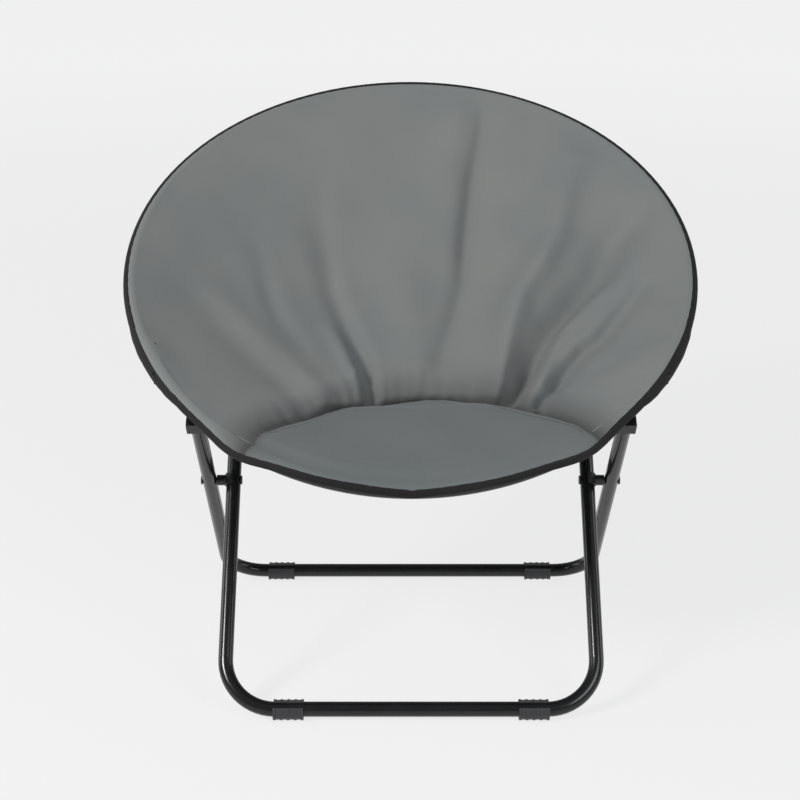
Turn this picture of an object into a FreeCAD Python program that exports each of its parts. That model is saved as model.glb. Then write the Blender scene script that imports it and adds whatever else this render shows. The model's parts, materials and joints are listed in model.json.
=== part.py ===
"""Folding saucer chair: two crossed tube legs carry a round tube hoop with a padded dish.

Sizes are in millimetres. X runs across the chair, +Y to the back, +Z up. The front is at -Y.
The origin is on the floor, in the middle of the chair's outline.
"""
import FreeCAD, Part
import math
import os
import Sketcher

Vector = FreeCAD.Vector
Rotation = FreeCAD.Rotation
Placement = FreeCAD.Placement

X_AXIS = Vector(1, 0, 0)
Y_AXIS = Vector(0, 1, 0)
Z_AXIS = Vector(0, 0, 1)
SIDES = {"left": -1, "right": 1}

# Driving dimensions
SIZES = {
    "tube_radius": 9.5,
    "tube_wall": 1.2,
    "front_leg_width": 471.0,
    "leg_side_gap": 13.0,
    "front_corner_radius": 65.0,
    "rear_corner_radius": 55.0,
    "floor_spread": 399.0,
    "ring_radius": 371.5,
    "ring_centre_back": 324.0,
    "ring_centre_rise": 490.0,
    "ring_tilt": 29.4,
    "seat_drop": 5.5,
    "hinge_bracket_gap": 77.8,
    "pivot_drop": 24.0,
    "foot_wall": 3.4,
    "foot_length": 38.0,
    "foot_flat": 1.0,
    "foot_mouth": 110.0,
    "foot_ribs": 5.0,
    "foot_rib_width": 3.0,
    "foot_rib_rise": 0.8,
    "front_foot_overrun": 2.5,
    "rear_foot_inset": 3.5,
    "pin_radius": 4.0,
    "pin_play": 0.06,
    "pin_head_radius": 7.5,
    "pin_head_rise": 1.8,
    "leg_pin_head_radius": 5.8,
    "spacer_radius": 7.0,
    "saddle_lip": 0.5,
    "saddle_wall": 2.2,
    "body_gap": 0.3,
    "bracket_wall": 2.0,
    "bracket_half_length": 12.0,
    "bracket_top": 6.0,
    "cheek_play": 0.5,
    "leg_overrun": 7.0,
    "plug_depth": 10.0,
    "plug_rise": 1.5,
    "lug_reach": 22.0,
    "collar_length": 16.0,
    "collar_wall": 1.5,
    "tongue_thickness": 6.4,
    "tongue_radius": 9.5,
    "hem_wall": 2.2,
    "hem_outer_angle": -12.0,
    "hem_inner_angle": 200.0,
    "fit_gap": 0.1,
    "dish_depth": 132.0,
    "dish_low_forward": 104.0,
    "dish_power_back": 1.4,
    "dish_power_seat": 1.25,
    "dish_edge_rise": 3.0,
    "dish_over_share": 1.4,
    "pad_thickness": 11.0,
    "pad_edge_thickness": 3.0,
    "pad_edge_width": 16.0,
    "seat_crown": 13.0,
    "seat_crown_shift": 0.7,
    "seam_depth": 7.0,
    "seam_width": 13.0,
    "seam_forward": 100.0,
    "seam_corner_across": 206.0,
    "seam_overrun_share": 1.3,
    "seam_power": 2.6,
    "fold_depth": 4.0,
    "fold_width": 22.0,
    "fold_start_share": 0.25,
}

# Dimensions that follow from the others
DERIVED = {
    "rear_leg_width": "=front_leg_width + 2 * (2 * tube_radius + leg_side_gap)",
    "saddle_length": "=2 * (spacer_radius + saddle_lip)",
    "hinge_forward": "=sqrt(ring_radius ^ 2 - (rear_leg_width / 2) ^ 2) - hinge_bracket_gap",
    "front_foot_place": "=(front_leg_width - foot_length) / 2 - front_corner_radius"
                        " + front_foot_overrun",
    "rear_foot_place": "=(rear_leg_width - foot_length) / 2 - rear_corner_radius"
                       " - rear_foot_inset",
}

# Grid of the padded surface
GRID_STEPS = 30

# Soft folds of the back panel: across and back of their upper end, then of their end at the seam
FOLDS = (
    (80.0, 330.0, 28.0, -96.0),
    (-105.0, 190.0, -48.0, -92.0),
    (215.0, 150.0, 100.0, -112.0),
    (-190.0, 10.0, -150.0, -120.0),
)

document = FreeCAD.newDocument("FoldingSaucerChair")
sheet = document.addObject("Spreadsheet::Sheet", "Sizes")
for row, (alias, value) in enumerate({**SIZES, **DERIVED}.items(), start=1):
    sheet.set("A%d" % row, alias)
    sheet.set("B%d" % row, str(value))
    sheet.setAlias("B%d" % row, alias)
document.recompute()


def size(alias):
    """Value of a driving dimension, read back from the sheet."""
    return float(sheet.get(alias))


# Plane geometry of the linkage: every point is a pair, back and up from the front floor bar
def along(angle):
    """Unit vector at an angle above the +Y direction."""
    return Vector(0, math.cos(math.radians(angle)), math.sin(math.radians(angle)))


def crossing(start_a, end_a, start_b, end_b):
    """Point where two lines of the side view cross."""
    run_a = end_a - start_a
    run_b = end_b - start_b
    offset = start_b - start_a
    cross = run_a.y * run_b.z - run_a.z * run_b.y
    share = (offset.y * run_b.z - offset.z * run_b.y) / cross
    return start_a + run_a * share


def chord_reach(half_width):
    """Distance from the ring's centre to the chord that is this far from its middle line."""
    return math.sqrt(size("ring_radius") ** 2 - half_width ** 2)


half_front = size("front_leg_width") / 2
half_rear = size("rear_leg_width") / 2
ring_slope = size("ring_tilt")
seat_slope = size("ring_tilt") + size("seat_drop")
foot_outer_radius = size("tube_radius") + size("foot_wall")
plug_radius = size("tube_radius") - size("tube_wall") - size("fit_gap")
leg_end_sweep = max(math.hypot(size("leg_overrun"), size("tube_radius")),
                    math.hypot(size("leg_overrun") + size("plug_rise"), plug_radius))
bar_height = foot_outer_radius + size("foot_rib_rise") - size("foot_flat")

front_bar = Vector(0, 0, 0)
rear_bar = Vector(0, size("floor_spread"), 0)
ring_centre = Vector(0, size("ring_centre_back"), size("ring_centre_rise"))
ring_hinge = ring_centre - along(ring_slope) * size("hinge_forward")
seat_centre = ring_hinge + along(seat_slope) * size("hinge_forward")
back_joint = (ring_centre + along(ring_slope) * chord_reach(half_front)
              - along(ring_slope + 90) * size("pivot_drop"))
seat_joint = (seat_centre - along(seat_slope) * chord_reach(half_rear)
              - along(seat_slope + 90) * size("pivot_drop"))
leg_cross = crossing(front_bar, back_joint, rear_bar, seat_joint)

front_slope = math.degrees(math.atan2(back_joint.z, back_joint.y))
rear_run = seat_joint - rear_bar
rear_slope = math.degrees(math.atan2(rear_run.z, rear_run.y))

# Placing the chair: the outline is centred over the origin and the feet stand on the floor
hem_outer = size("tube_radius") + size("fit_gap") + size("hem_wall")
front_extreme = -(foot_outer_radius + size("foot_rib_rise"))
hem_lean = math.cos(math.radians(ring_slope + size("hem_outer_angle")))
rear_extreme = ring_centre.y + along(ring_slope).y * size("ring_radius") + hem_outer * hem_lean
origin_shift = Vector(0, -(front_extreme + rear_extreme) / 2, bar_height)


def frame_at(point, slope):
    """Frame with X across the chair and Y up the slope, at a point of the side view."""
    return Placement(point + origin_shift, Rotation(X_AXIS, slope))


FRONT = frame_at(front_bar, front_slope)
REAR = frame_at(rear_bar, rear_slope)
RING = frame_at(ring_centre, ring_slope)
SEAT = frame_at(seat_centre, seat_slope)

front_cross_reach = (leg_cross - front_bar).Length
rear_cross_reach = (leg_cross - rear_bar).Length
front_top_reach = (back_joint - front_bar).Length
rear_top_reach = (seat_joint - rear_bar).Length

nodes = []


# Helpers for sketches and features
def new_body(label, placement):
    """A body that becomes one node."""
    body = document.addObject("PartDesign::Body", label)
    body.Label = label
    body.Placement = placement
    nodes.append(body)
    return body


def plane_of(body, role):
    """One of a body's own origin planes."""
    return next(item for item in body.Origin.OriginFeatures if item.Role == role)


def new_sketch(body, role, offset=0.0):
    """A sketch on an origin plane of its body, moved along the plane's normal."""
    sketch = body.newObject("Sketcher::SketchObject", body.Label + "_sketch")
    sketch.AttachmentSupport = (plane_of(body, role), "")
    sketch.MapMode = "FlatFace"
    sketch.AttachmentOffset = Placement(Vector(0, 0, offset), Rotation())
    return sketch


def bind(sketch, kind, arguments, value, formula):
    """Add one dimension to a sketch and tie it to the sheet."""
    index = sketch.addConstraint(Sketcher.Constraint(kind, *arguments, value))
    sketch.setExpression("Constraints[%d]" % index, formula)


def add_circle(sketch, across, up, radius, formula):
    """A circle whose centre stays where it is put and whose radius follows the sheet."""
    index = sketch.addGeometry(Part.Circle(Vector(across, up, 0), Z_AXIS, radius), False)
    bind(sketch, "Radius", (index,), radius, formula)
    pin_centre(sketch, index, across, up)


def pin_centre(sketch, index, across, up):
    """Hold a circle's centre at its place."""
    for kind, axis, value in (("DistanceX", -2, across), ("DistanceY", -1, up)):
        if abs(value) < 1e-9:
            sketch.addConstraint(Sketcher.Constraint("PointOnObject", index, 3, axis))
        elif value > 0:
            sketch.addConstraint(Sketcher.Constraint(kind, -1, 1, index, 3, value))
        else:
            sketch.addConstraint(Sketcher.Constraint(kind, index, 3, -1, 1, -value))


def add_outline(sketch, curves):
    """A closed chain of lines and arcs, held as drawn."""
    for curve in curves:
        index = sketch.addGeometry(curve, False)
        sketch.addConstraint(Sketcher.Constraint("Block", index))


def line(start, end):
    """A straight edge between two points of a sketch."""
    return Part.LineSegment(Vector(start[0], start[1], 0), Vector(end[0], end[1], 0))


def arc(centre, radius, start_angle, end_angle):
    """An arc of a sketch, counter-clockwise, with its angles in degrees."""
    circle = Part.Circle(Vector(centre[0], centre[1], 0), Z_AXIS, radius)
    return Part.ArcOfCircle(circle, math.radians(start_angle), math.radians(end_angle))


def box_outline(left, low, right, high):
    """Four edges of a rectangle."""
    corners = ((left, low), (right, low), (right, high), (left, high))
    return [line(corners[i], corners[(i + 1) % 4]) for i in range(4)]


def pad(body, sketch, length, formula=None):
    """Pad a sketch to both sides of its plane."""
    feature = body.newObject("PartDesign::Pad", body.Label + "_pad")
    feature.Profile = sketch
    feature.Length = length
    if formula:
        feature.setExpression("Length", formula)
    feature.Midplane = True
    sketch.Visibility = False
    document.recompute()
    return feature


def pocket(body, sketch, length, formula=None):
    """Cut a sketch out to both sides of its plane."""
    before = body.Shape.Volume
    feature = body.newObject("PartDesign::Pocket", body.Label + "_pocket")
    feature.Profile = sketch
    feature.Length = length
    if formula:
        feature.setExpression("Length", formula)
    feature.Midplane = True
    document.recompute()
    if body.Shape.Volume >= before:
        raise RuntimeError(body.Label + ": a pocket cut nothing")
    return feature


def spin(body, sketch, kind, angle, formula=None):
    """Revolve or groove a sketch about its vertical axis, to both sides of its plane."""
    feature = body.newObject("PartDesign::" + kind, body.Label + "_" + kind.lower())
    feature.Profile = sketch
    feature.ReferenceAxis = (sketch, ["V_Axis"])
    feature.Angle = angle
    if formula:
        feature.setExpression("Angle", formula)
    feature.Midplane = True
    document.recompute()
    return feature


# Bent tube legs
def leg_tube(label, placement, half_width, name, length, cross_reach):
    """A U of round tube with its floor bar on the frame's X axis, drilled for its pins."""
    body = new_body(label, placement)
    corner = size(name + "_corner_radius")
    path = new_sketch(body, "XY_Plane")
    path.addGeometry(line((0, 0), (half_width - corner, 0)), False)
    path.addGeometry(arc((half_width - corner, corner), corner, 270, 360), False)
    path.addGeometry(line((half_width, corner), (half_width, length)), False)
    for constraint in (("Coincident", 0, 1, -1, 1), ("Horizontal", 0), ("Vertical", 2),
                       ("Tangent", 0, 2, 1, 1), ("Tangent", 1, 2, 2, 1)):
        path.addConstraint(Sketcher.Constraint(*constraint))
    bind(path, "Radius", (1,), corner, "Sizes.%s_corner_radius" % name)
    bind(path, "DistanceX", (-1, 1, 2, 2), half_width, "Sizes.%s_leg_width / 2" % name)
    path.addConstraint(Sketcher.Constraint("DistanceY", -1, 1, 2, 2, length))
    profile = new_sketch(body, "YZ_Plane")
    add_circle(profile, 0, 0, size("tube_radius"), "Sizes.tube_radius")
    add_circle(profile, 0, 0, size("tube_radius") - size("tube_wall"),
               "Sizes.tube_radius - Sizes.tube_wall")
    pipe = body.newObject("PartDesign::AdditivePipe", label + "_pipe")
    pipe.Profile = profile
    pipe.Spine = path
    document.recompute()
    mirror = body.newObject("PartDesign::Mirrored", label + "_mirror")
    mirror.Originals = [pipe]
    mirror.MirrorPlane = (plane_of(body, "YZ_Plane"), [""])
    body.Tip = mirror
    document.recompute()
    holes = new_sketch(body, "YZ_Plane")
    for reach in (cross_reach, length - size("leg_overrun")):
        add_circle(holes, reach, 0, size("pin_radius") + size("pin_play"),
                   "Sizes.pin_radius + Sizes.pin_play")
    pocket(body, holes, 2 * half_width + 4 * size("tube_radius"))


# Snap-on floor clips
def foot_clip(label, frame, side, place):
    """A ribbed plastic C that grips a floor bar, open above and flat where it stands."""
    world = frame.multiply(Placement(Vector(side * place, 0, 0), Rotation()))
    body = new_body(label, Placement(world.Base, Rotation()))
    inner = size("tube_radius") + size("fit_gap")
    half_mouth = size("foot_mouth") / 2
    section = new_sketch(body, "YZ_Plane")
    add_outline(section, clip_outline(inner, foot_outer_radius, half_mouth))
    pad(body, section, size("foot_length"), "Sizes.foot_length")
    ribs = int(size("foot_ribs"))
    pitch = (size("foot_length") - size("foot_rib_width")) / (ribs - 1)
    rib = new_sketch(body, "YZ_Plane", -(ribs - 1) * pitch / 2)
    add_outline(rib, clip_outline(foot_outer_radius - size("foot_rib_rise"),
                                  foot_outer_radius + size("foot_rib_rise"), half_mouth))
    first = pad(body, rib, size("foot_rib_width"), "Sizes.foot_rib_width")
    pattern = body.newObject("PartDesign::LinearPattern", label + "_ribs")
    pattern.Originals = [first]
    pattern.Direction = (rib, ["N_Axis"])
    pattern.Length = (ribs - 1) * pitch
    pattern.Occurrences = ribs
    body.Tip = pattern
    document.recompute()
    flat = new_sketch(body, "YZ_Plane")
    reach = foot_outer_radius + size("foot_rib_rise")
    add_outline(flat, box_outline(-reach, -2 * reach, reach, -bar_height))
    pocket(body, flat, 2 * size("foot_length"))


def clip_outline(inner, outer, half_mouth):
    """Section of a clip: a C whose mouth faces up."""
    start = 90 + half_mouth
    end = 450 - half_mouth
    lips = []
    for angle in (start, end):
        ray = (math.cos(math.radians(angle)), math.sin(math.radians(angle)))
        lips.append(((inner * ray[0], inner * ray[1]), (outer * ray[0], outer * ray[1])))
    return [arc((0, 0), outer, start, end), line(lips[1][1], lips[1][0]),
            arc((0, 0), inner, start, end), line(lips[0][0], lips[0][1])]


# Turned pieces on pins across the chair
def turned(label, frame, centre, side, steps):
    """A solid of revolution about X. Each step is a span outward from the centre and a radius."""
    world = frame.multiply(Placement(centre, Rotation()))
    body = new_body(label, world)
    section = new_sketch(body, "XY_Plane")
    points = [(side * steps[0][0], 0.0)]
    for start, end, radius in steps:
        points.append((side * start, radius))
        points.append((side * end, radius))
    points.append((side * steps[-1][1], 0.0))
    add_outline(section, [line(points[i], points[(i + 1) % len(points)])
                          for i in range(len(points))])
    feature = body.newObject("PartDesign::Revolution", label + "_turn")
    feature.Profile = section
    feature.ReferenceAxis = (section, ["H_Axis"])
    feature.Angle = 360
    document.recompute()
    return body


def bore_out(body, radius, start, end):
    """Bore a turned body right through along X."""
    hole = new_sketch(body, "YZ_Plane", (start + end) / 2)
    add_circle(hole, 0, 0, radius, "Sizes.pin_radius + Sizes.pin_play")
    pocket(body, hole, 2 * abs(end - start))


# Leg crossing: a spacer with a saddle, a pin through the inner leg and a cap on the outer leg
def leg_pivot(name, side):
    """The pieces that hold the two legs together where they cross."""
    tube = size("tube_radius")
    place = Vector(side * half_front, front_cross_reach, 0)
    gap_end = half_rear - half_front - tube
    spacer = turned(name + "_leg_spacer", FRONT, place, side,
                    [(0, gap_end - size("body_gap"), size("spacer_radius"))])
    saddle = new_sketch(spacer, "XZ_Plane")
    add_circle(saddle, 0, 0, tube + size("saddle_wall"), "Sizes.tube_radius + Sizes.saddle_wall")
    pad(spacer, saddle, size("saddle_length"), "Sizes.saddle_length")
    seat = new_sketch(spacer, "XZ_Plane")
    add_circle(seat, 0, 0, tube, "Sizes.tube_radius")
    pocket(spacer, seat, 4 * size("saddle_length"))
    far = 2 * tube
    trim = new_sketch(spacer, "XZ_Plane")
    edges = sorted((0.0, -side * 2 * far))
    add_outline(trim, box_outline(edges[0], -far, edges[1], far))
    pocket(spacer, trim, 4 * size("saddle_length"))
    bore_out(spacer, size("pin_radius") + size("pin_play"), 0, side * 4 * tube)
    pin = size("pin_radius")
    turned(name + "_leg_pin", FRONT, place, side,
           [(-tube - size("pin_head_rise"), -tube - size("fit_gap"), size("leg_pin_head_radius")),
            (-tube - size("fit_gap"), gap_end - size("body_gap"), pin)])
    outer = Vector(side * half_rear, rear_cross_reach, 0)
    turned(name + "_leg_cap", REAR, outer, side,
           [(-tube, tube + size("fit_gap"), pin),
            (tube + size("fit_gap"), tube + size("pin_head_rise"),
             size("leg_pin_head_radius"))])


# Hoop tubes
def hoop_tube(label, frame, direction, sweep, formula):
    """An arc of tube about the ring's axis, centred on the front or the back."""
    body = new_body(label, frame)
    section = new_sketch(body, "YZ_Plane")
    reach = direction * size("ring_radius")
    add_circle(section, reach, 0, size("tube_radius"), "Sizes.tube_radius")
    add_circle(section, reach, 0, size("tube_radius") - size("tube_wall"),
               "Sizes.tube_radius - Sizes.tube_wall")
    spin(body, section, "Revolution", sweep, formula)


# Hinge lugs on the hoops' ends
def ring_section(body, side, angle):
    """A sketch that stands across the hoop tube, at an angle in front or behind of its side."""
    sketch = new_sketch(body, "YZ_Plane")
    turn = Rotation(Y_AXIS, side * (angle - 90))
    sketch.AttachmentOffset = Placement(Vector(), turn)
    return sketch


def hinge_lug(label, frame, side, direction, inward):
    """A collar over a hoop's end with a flat tongue that lies against its partner."""
    body = new_body(label, frame)
    ring = size("ring_radius")
    hinge_across = chord_reach(size("hinge_forward"))
    hinge_place = -size("hinge_forward")
    tongue = size("tongue_thickness")
    face = hinge_across + (-1 if inward else 1) * (size("body_gap") / 2 + tongue / 2)
    tip = size("tongue_radius")
    reach = size("lug_reach")
    run = direction * (reach + size("collar_length") / 2) * hinge_across / ring
    plate = new_sketch(body, "YZ_Plane", side * face)
    root = hinge_place + run
    bow = (90, 270) if direction > 0 else (-90, 90)
    add_outline(plate, [arc((hinge_place, 0), tip, *bow),
                        line((hinge_place, -tip), (root, -tip)),
                        line((root, -tip), (root, tip)),
                        line((root, tip), (hinge_place, tip))])
    pad(body, plate, tongue, "Sizes.tongue_thickness")
    turn = math.degrees(1 / ring)
    start = math.degrees(math.atan2(hinge_place, hinge_across)) + direction * reach * turn
    length = size("collar_length") * turn
    floor = size("collar_wall") * turn
    outer = size("tube_radius") + size("collar_wall")
    collar = ring_section(body, side, start + direction * length / 2)
    add_circle(collar, ring, 0, outer, "Sizes.tube_radius + Sizes.collar_wall")
    spin(body, collar, "Revolution", length)
    socket = ring_section(body, side, start + direction * (floor + length / 2))
    add_circle(socket, ring, 0, size("tube_radius"), "Sizes.tube_radius")
    spin(body, socket, "Groove", length)
    hole = new_sketch(body, "YZ_Plane", side * face)
    add_circle(hole, hinge_place, 0, size("pin_radius") + size("pin_play"),
               "Sizes.pin_radius + Sizes.pin_play")
    pocket(body, hole, 3 * tongue)


# Brackets under the hoops that hold the legs' tops
def leg_bracket(label, frame, side, half_width, direction):
    """A channel under the hoop tube whose two cheeks hold the pin of a leg's top.

    A web closes its outward end down to the pin, just clear of the leg's end as it swings.
    """
    body = new_body(label, frame)
    slot = 2 * (size("tube_radius") + size("cheek_play"))
    width = slot + 2 * size("bracket_wall")
    place = direction * chord_reach(half_width)
    half = size("bracket_half_length")
    pivot = -size("pivot_drop")
    top = -size("bracket_top")
    web = direction * (leg_end_sweep + size("cheek_play"))
    outside = place + web + direction * size("bracket_wall")
    inside = place - direction * half
    cheeks = new_sketch(body, "YZ_Plane", side * half_width)
    add_outline(cheeks, [line((place + direction * half, pivot), (outside, pivot)),
                         line((outside, pivot), (outside, top)),
                         line((outside, top), (inside, top)),
                         line((inside, top), (inside, pivot)),
                         arc((place, pivot), half, 180, 360)])
    pad(body, cheeks, width, "2 * (Sizes.tube_radius + Sizes.cheek_play + Sizes.bracket_wall)")
    channel = new_sketch(body, "YZ_Plane", side * half_width)
    roof = -size("tube_radius") - size("bracket_wall")
    low, high = sorted((place - direction * 2 * half, place + web))
    add_outline(channel, box_outline(low, 3 * pivot, high, roof))
    pocket(body, channel, slot, "2 * (Sizes.tube_radius + Sizes.cheek_play)")
    saddle = new_sketch(body, "YZ_Plane")
    add_circle(saddle, direction * size("ring_radius"), 0, size("tube_radius"),
               "Sizes.tube_radius")
    spin(body, saddle, "Groove", 360)
    hole = new_sketch(body, "YZ_Plane", side * half_width)
    add_circle(hole, place, pivot, size("pin_radius") + size("pin_play"),
               "Sizes.pin_radius + Sizes.pin_play")
    pocket(body, hole, 2 * width)


def bracket_pin(label, frame, side, half_width, direction):
    """The headed pin of a bracket, through both cheeks and the leg between them."""
    place = Vector(side * half_width, direction * chord_reach(half_width), -size("pivot_drop"))
    half = size("tube_radius") + size("cheek_play") + size("bracket_wall") + size("fit_gap")
    head = size("pin_head_rise")
    turned(label, frame, place, side,
           [(-half - head, -half, size("pin_head_radius")), (-half, half, size("pin_radius")),
            (half, half + head, size("pin_head_radius"))])


def end_plug(label, frame, side, half_width, length):
    """A plastic plug in the open top of a leg tube."""
    body = new_body(label, frame.multiply(Placement(Vector(side * half_width, length, 0),
                                                    Rotation(Z_AXIS, 90))))
    section = new_sketch(body, "XY_Plane")
    rise = size("plug_rise")
    depth = min(size("plug_depth"), size("leg_overrun") - size("pin_radius") - rise / 2)
    tube = size("tube_radius")
    add_outline(section, [line((-depth, 0), (-depth, plug_radius)),
                          line((-depth, plug_radius), (0, plug_radius)),
                          line((0, plug_radius), (0, tube)),
                          line((0, tube), (rise, plug_radius)),
                          line((rise, plug_radius), (rise, 0)), line((rise, 0), (-depth, 0))])
    feature = body.newObject("PartDesign::Revolution", label + "_turn")
    feature.Profile = section
    feature.ReferenceAxis = (section, ["H_Axis"])
    feature.Angle = 360
    document.recompute()


# Hem of the cover, a strip that wraps the hoop tube from inside over the top
def hem(label, frame, direction, sweep):
    """The bound edge of the cover on one hoop."""
    body = new_body(label, frame)
    inner = size("tube_radius") + size("fit_gap")
    low = size("hem_outer_angle")
    high = size("hem_inner_angle")
    if direction < 0:
        low, high = 180 - high, 180 - low
    section = new_sketch(body, "YZ_Plane")
    reach = direction * size("ring_radius")
    tips = []
    for angle in (low, high):
        ray = (math.cos(math.radians(angle)), math.sin(math.radians(angle)))
        tips.append(((reach + inner * ray[0], inner * ray[1]),
                     (reach + hem_outer * ray[0], hem_outer * ray[1])))
    add_outline(section, [arc((reach, 0), hem_outer, low, high), line(tips[1][1], tips[1][0]),
                          arc((reach, 0), inner, low, high), line(tips[0][0], tips[0][1])])
    spin(body, section, "Revolution", sweep)


# Padded dish
def rim_reach(across, back):
    """How far the edge is from the dish's lowest point, in the direction of a place."""
    low = -size("dish_low_forward")
    run = Vector(across, back - low, 0)
    if run.Length < 1e-6:
        return 1.0, run
    heading = run / run.Length
    edge = size("ring_radius") - hem_outer
    half = low * heading.y
    return -half + math.sqrt(half * half + edge * edge - low * low), run


def seam_place(across):
    """Back coordinate of the seam between the seat panel and the back panel."""
    corner = size("seam_corner_across")
    edge = size("ring_radius") - hem_outer
    fall = math.sqrt(edge ** 2 - corner ** 2) - size("seam_forward")
    share = min(abs(across) / corner, size("seam_overrun_share"))
    return -size("seam_forward") - fall * share ** size("seam_power")


def seam_offset(across, back):
    """Distance of a place from the seam, positive on the seat panel."""
    step = 1.0
    slope = (seam_place(across + step) - seam_place(across - step)) / (2 * step)
    return (seam_place(across) - back) / math.hypot(1, slope)


def fold_dip(across, back):
    """Depth of the soft folds at a place of the back panel."""
    dip = 0.0
    start = size("fold_start_share")
    for top_x, top_y, low_x, low_y in FOLDS:
        run = Vector(low_x - top_x, low_y - top_y, 0)
        offset = Vector(across - top_x, back - top_y, 0)
        share = max(0.0, min(1.0, offset.dot(run) / run.dot(run)))
        aside = (offset - run * share).Length
        dip += (start + (1 - start) * share) * math.exp(-(aside / size("fold_width")) ** 2)
    return dip * size("fold_depth")


def dish_height(across, back):
    """Height of the dish's upper surface over the back hoop's plane."""
    reach, run = rim_reach(across, back)
    share = run.Length / reach
    forward = max(0.0, -run.y / max(run.Length, 1e-6)) ** 2
    power = size("dish_power_back")
    power += (size("dish_power_seat") - power) * forward
    ahead = -size("hinge_forward") - back
    soft = size("pad_edge_width")
    fall = math.tan(math.radians(size("seat_drop"))) * (ahead + math.hypot(ahead, soft)) / 2
    over = size("dish_over_share")
    height = size("dish_edge_rise") - fall - size("dish_depth") * (1 - min(share, over) ** power)
    before_seam = seam_offset(across, back)
    seam = math.exp(-(before_seam / size("seam_width")) ** 2)
    inside = max(0.0, 1 - share ** 4)
    height -= size("seam_depth") * seam * inside
    edge = size("ring_radius") - hem_outer
    panel = max(edge + seam_place(across), 1.0)
    if before_seam > 0:
        place = min(before_seam / panel, 1.0)
        bulge = math.sin(math.pi * place ** size("seat_crown_shift"))
        height += size("seat_crown") * bulge * inside
    else:
        height -= fold_dip(across, back) * inside
    return height


def pad_depth(across, back):
    """Thickness of the padding, thin where it is sewn to the hem."""
    edge = size("ring_radius") - hem_outer
    inside = max(0.0, edge - math.hypot(across, back))
    thin = size("pad_edge_thickness")
    return thin + (size("pad_thickness") - thin) * (1 - math.exp(-inside / size("pad_edge_width")))


def column_under(height):
    """Solid below a surface that is given by a height function."""
    reach = size("ring_radius") + size("tube_radius")
    places = [reach * (2 * i / GRID_STEPS - 1) for i in range(GRID_STEPS + 1)]
    grid = [[Vector(across, back, height(across, back)) for back in places] for across in places]
    surface = Part.BSplineSurface()
    surface.interpolate(grid)
    return surface.toShape().extrude(Vector(0, 0, -2 * size("ring_radius")))


def cover_panels():
    """Upper surface minus lower surface, trimmed to the hoop and split over the hinge line."""
    top = column_under(dish_height)
    low = column_under(lambda across, back: dish_height(across, back) - pad_depth(across, back))
    edge = size("ring_radius") - hem_outer - size("fit_gap")
    tall = 4 * size("ring_radius")
    rim = Part.makeCylinder(edge, tall, Vector(0, 0, -tall / 2))
    seat_rim = rim.copy()
    seat_rim.Placement = RING.inverse().multiply(SEAT)
    dish = top.cut(low)
    split = -size("hinge_forward")
    gap = size("body_gap")
    behind = Part.makeBox(tall, tall, tall, Vector(-tall / 2, split + gap / 2, -tall / 2))
    ahead = Part.makeBox(tall, tall, tall, Vector(-tall / 2, split - gap / 2 - tall, -tall / 2))
    return {"back_cover": dish.common(rim).common(behind),
            "seat_cover": dish.common(seat_rim).common(ahead)}


# Building the chair
leg_tube("front_leg_tube", FRONT, half_front, "front",
         front_top_reach + size("leg_overrun"), front_cross_reach)
leg_tube("rear_leg_tube", REAR, half_rear, "rear",
         rear_top_reach + size("leg_overrun"), rear_cross_reach)

degrees_per_mm = math.degrees(1 / size("ring_radius"))
hinge_angle = math.degrees(math.asin(size("hinge_forward") / size("ring_radius")))
tube_start = (size("lug_reach") + size("collar_wall")) * degrees_per_mm
hem_start = (size("lug_reach") + size("collar_length") + size("fit_gap")) * degrees_per_mm
BACK_FORMULA = ("180 + 2 * asin(Sizes.hinge_forward / Sizes.ring_radius) / 1 deg"
                " - 360 / pi * (Sizes.lug_reach + Sizes.collar_wall) / Sizes.ring_radius")
SEAT_FORMULA = ("180 - 2 * asin(Sizes.hinge_forward / Sizes.ring_radius) / 1 deg"
                " - 360 / pi * (Sizes.lug_reach + Sizes.collar_wall) / Sizes.ring_radius")
hoop_tube("back_hoop_tube", RING, 1, 180 + 2 * (hinge_angle - tube_start), BACK_FORMULA)
hoop_tube("seat_hoop_tube", SEAT, -1, 180 - 2 * (hinge_angle + tube_start), SEAT_FORMULA)
hem("back_hem", RING, 1, 180 + 2 * (hinge_angle - hem_start))
hem("seat_hem", SEAT, -1, 180 - 2 * (hinge_angle + hem_start))

for name, side in SIDES.items():
    foot_clip(name + "_front_foot", FRONT, side, size("front_foot_place"))
    foot_clip(name + "_rear_foot", REAR, side, size("rear_foot_place"))
    leg_pivot(name, side)
    leg_bracket(name + "_back_bracket", RING, side, half_front, 1)
    leg_bracket(name + "_seat_bracket", SEAT, side, half_rear, -1)
    bracket_pin(name + "_back_bracket_pin", RING, side, half_front, 1)
    bracket_pin(name + "_seat_bracket_pin", SEAT, side, half_rear, -1)
    end_plug(name + "_front_leg_plug", FRONT, side, half_front,
             front_top_reach + size("leg_overrun"))
    end_plug(name + "_rear_leg_plug", REAR, side, half_rear,
             rear_top_reach + size("leg_overrun"))
    hinge_lug(name + "_back_lug", RING, side, 1, False)
    hinge_lug(name + "_seat_lug", SEAT, side, -1, True)
    hinge_across = chord_reach(size("hinge_forward"))
    reach = size("tongue_thickness") + size("body_gap") / 2 + size("fit_gap")
    turned(name + "_ring_pin", RING, Vector(side * hinge_across, -size("hinge_forward"), 0), side,
           [(-reach - size("pin_head_rise"), -reach, size("pin_head_radius")),
            (-reach, reach, size("pin_radius")),
            (reach, reach + size("pin_head_rise"), size("pin_head_radius"))])

for label, shape in cover_panels().items():
    feature = document.addObject("Part::Feature", label)
    feature.Label = label
    feature.Shape = shape
    feature.Placement = RING
    nodes.append(feature)

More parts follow.
